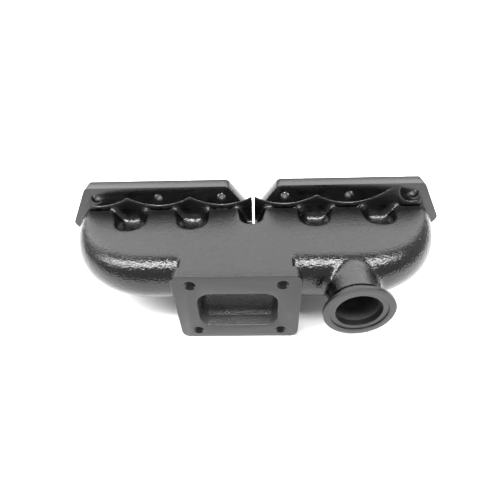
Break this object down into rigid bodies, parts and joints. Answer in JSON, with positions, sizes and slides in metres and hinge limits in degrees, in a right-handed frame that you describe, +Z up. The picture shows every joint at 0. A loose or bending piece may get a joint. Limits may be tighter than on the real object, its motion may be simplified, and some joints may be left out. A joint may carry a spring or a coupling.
{
  "type": "exhaust manifold",
  "caption": "Cast log-style turbo exhaust manifold with a split head flange, rectangular turbo flange and V-band wastegate outlet.",
  "frame": {"origin": "centre of the head flange's mating face at the height of the port centres", "axes": "+X along the engine, +Y out of the mating face into the cylinder head, +Z up"},
  "size_m": [0.39, 0.1335, 0.1095],
  "materials": {
    "painted_cast_iron": "gloss black over a cast surface",
    "machined_flange": "satin black over a machined face"
  },
  "bodies": {
    "root": {"head_flange_left": "machined_flange", "head_flange_right": "machined_flange", "runner_1": "painted_cast_iron", "runner_2": "painted_cast_iron", "runner_3": "painted_cast_iron", "runner_4": "painted_cast_iron", "runner_5": "painted_cast_iron", "runner_6": "painted_cast_iron", "log_left": "painted_cast_iron", "log_middle": "painted_cast_iron", "log_right": "painted_cast_iron", "collector": "painted_cast_iron", "turbo_flange": "machined_flange", "wastegate_neck": "painted_cast_iron", "wastegate_flange": "machined_flange"}
  },
  "joints": []
}
